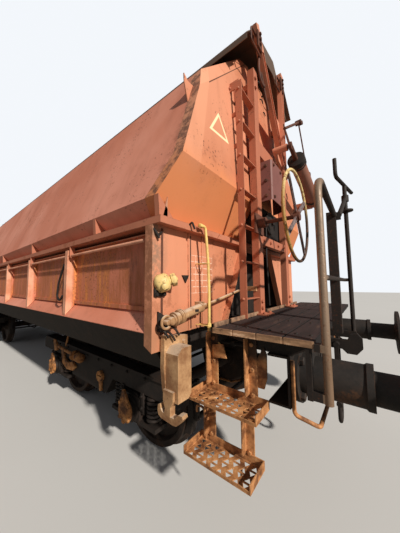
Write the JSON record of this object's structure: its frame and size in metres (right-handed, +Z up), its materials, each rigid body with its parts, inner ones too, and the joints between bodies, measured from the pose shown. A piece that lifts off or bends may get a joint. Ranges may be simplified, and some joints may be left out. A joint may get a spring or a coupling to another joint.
{
  "type": "self-discharging hopper wagon",
  "caption": "Bogie saddle-bottom hopper wagon with side discharge flaps, a swinging roof over its loading slot and an end platform with ladder.",
  "frame": {"origin": "under the middle of the wagon, at the lowest point of the wheel flanges", "axes": "+X along the wagon towards the end with the platform, +Y to the side towards which the roof swings, +Z up"},
  "size_m": [12.54, 3, 4.3599],
  "materials": {
    "oxide_paint": "weathered red-brown oxide paint, chalky, with rust spots",
    "rusty_panel": "oxide paint streaked through with rust",
    "roof_sheet": "dark brown sheet with moss and dirt",
    "deck_wood": "dark weathered planks with worn edges",
    "dark_steel": "near-black brown with rust and old grease",
    "wheel_steel": "rusted, tread worn dull",
    "buffer_steel": "dark grey-brown, rust blooms",
    "tan_rust": "bare steel with tan rust",
    "worn_steel": "hand-worn grey steel over brown paint",
    "hand_wheel_paint": "worn off-white paint over rust",
    "valve_paint": "pale yellow paint, dirty and chipped"
  },
  "bodies": {
    "wagon_body": {"hopper_side_left": "oxide_paint", "hopper_side_right": "oxide_paint", "hopper_end_front": "oxide_paint", "hopper_end_rear": "oxide_paint", "saddle_floor": "oxide_paint", "waist_rim": "oxide_paint", "box_end_front": "oxide_paint", "box_end_rear": "oxide_paint", "centre_sills": "dark_steel", "cross_members": "dark_steel", "body_bolster_front": "dark_steel", "body_bolster_rear": "dark_steel", "side_sills": "dark_steel", "saddle_frames": "dark_steel", "headstock_front": "dark_steel", "headstock_rear": "dark_steel", "buffer_left_front": "buffer_steel", "buffer_right_front": "buffer_steel", "buffer_left_rear": "buffer_steel", "buffer_right_rear": "buffer_steel", "coupling_front": "dark_steel", "coupling_rear": "dark_steel", "end_columns_front": "oxide_paint", "end_columns_rear": "oxide_paint", "deck": "deck_wood", "steps_left": "tan_rust", "steps_right": "tan_rust", "ladder": "oxide_paint", "hand_wheel": "hand_wheel_paint", "guard_rail": "worn_steel", "brake_column": "dark_steel", "lock_gear": "tan_rust", "lever_shaft": "tan_rust", "air_valve": "valve_paint", "gear_cover": "oxide_paint", "shunter_grips": "tan_rust", "brake_gear": "dark_steel", "deck_frame": "tan_rust"},
    "roof": {"roof_shell": "roof_sheet", "roof_arms_front": "oxide_paint", "roof_arms_rear": "oxide_paint"},
    "flap_left_front": {"flap_left_front": "rusty_panel"},
    "flap_right_front": {"flap_right_front": "rusty_panel"},
    "bogie_front": {"bogie_frame_front": "dark_steel", "axle_boxes_front": "dark_steel", "springs_front": "dark_steel", "bogie_brakes_front": "dark_steel"},
    "flap_left_rear": {"flap_left_rear": "rusty_panel"},
    "flap_right_rear": {"flap_right_rear": "rusty_panel"},
    "bogie_rear": {"bogie_frame_rear": "dark_steel", "axle_boxes_rear": "dark_steel", "springs_rear": "dark_steel", "bogie_brakes_rear": "dark_steel"},
    "wheelset_1": {"wheelset_1": "wheel_steel"},
    "wheelset_2": {"wheelset_2": "wheel_steel"},
    "wheelset_3": {"wheelset_3": "wheel_steel"},
    "wheelset_4": {"wheelset_4": "wheel_steel"},
    "cylinder": {"roof_cylinder": "oxide_paint"},
    "piston": {"roof_cylinder_rod": "worn_steel"}
  },
  "joints": [
    {"name": "roof_swing", "type": "hinge", "parent": "wagon_body", "child": "roof", "pos_m": [0, 0.3, 2.98], "axis": [-1, 0, 0], "range_deg": [0, 55]},
    {"name": "cylinder_swing", "type": "hinge", "parent": "wagon_body", "child": "cylinder", "pos_m": [5.435, 1.25, 2.83], "axis": [-1, 0, 0], "range_deg": [0, 12]},
    {"name": "piston_slide", "type": "slide", "parent": "cylinder", "child": "piston", "axis": [0, -0.972, 0.235], "range_m": [-0.172, 0]},
    {"name": "flap_swing_left_front", "type": "hinge", "parent": "wagon_body", "child": "flap_left_front", "pos_m": [0, -1.478, 1.915], "axis": [-1, 0, 0], "range_deg": [0, 40]},
    {"name": "flap_swing_right_front", "type": "hinge", "parent": "wagon_body", "child": "flap_right_front", "pos_m": [0, 1.478, 1.915], "axis": [1, 0, 0], "range_deg": [0, 40]},
    {"name": "flap_swing_left_rear", "type": "hinge", "parent": "wagon_body", "child": "flap_left_rear", "pos_m": [0, -1.478, 1.915], "axis": [-1, 0, 0], "range_deg": [0, 40]},
    {"name": "flap_swing_right_rear", "type": "hinge", "parent": "wagon_body", "child": "flap_right_rear", "pos_m": [0, 1.478, 1.915], "axis": [1, 0, 0], "range_deg": [0, 40]},
    {"name": "bogie_swivel_front", "type": "hinge", "parent": "wagon_body", "child": "bogie_front", "pos_m": [3.3, 0, 0.875], "axis": [0, 0, 1], "range_deg": [-4, 4]},
    {"name": "bogie_swivel_rear", "type": "hinge", "parent": "wagon_body", "child": "bogie_rear", "pos_m": [-3.3, 0, 0.875], "axis": [0, 0, 1], "range_deg": [-4, 4]},
    {"name": "wheelset_turn_1", "type": "hinge", "parent": "bogie_front", "child": "wheelset_1", "pos_m": [4.2, 0, 0.49], "axis": [0, 1, 0], "continuous": true},
    {"name": "wheelset_turn_2", "type": "hinge", "parent": "bogie_front", "child": "wheelset_2", "pos_m": [2.4, 0, 0.49], "axis": [0, 1, 0], "continuous": true},
    {"name": "wheelset_turn_3", "type": "hinge", "parent": "bogie_rear", "child": "wheelset_3", "pos_m": [-2.4, 0, 0.49], "axis": [0, 1, 0], "continuous": true},
    {"name": "wheelset_turn_4", "type": "hinge", "parent": "bogie_rear", "child": "wheelset_4", "pos_m": [-4.2, 0, 0.49], "axis": [0, 1, 0], "continuous": true}
  ],
  "couplings": [
    {"joint": "cylinder_swing", "follows": "roof_swing", "ratio": 0.20263},
    {"joint": "piston_slide", "follows": "roof_swing", "m_per_rad": -0.17651}
  ]
}
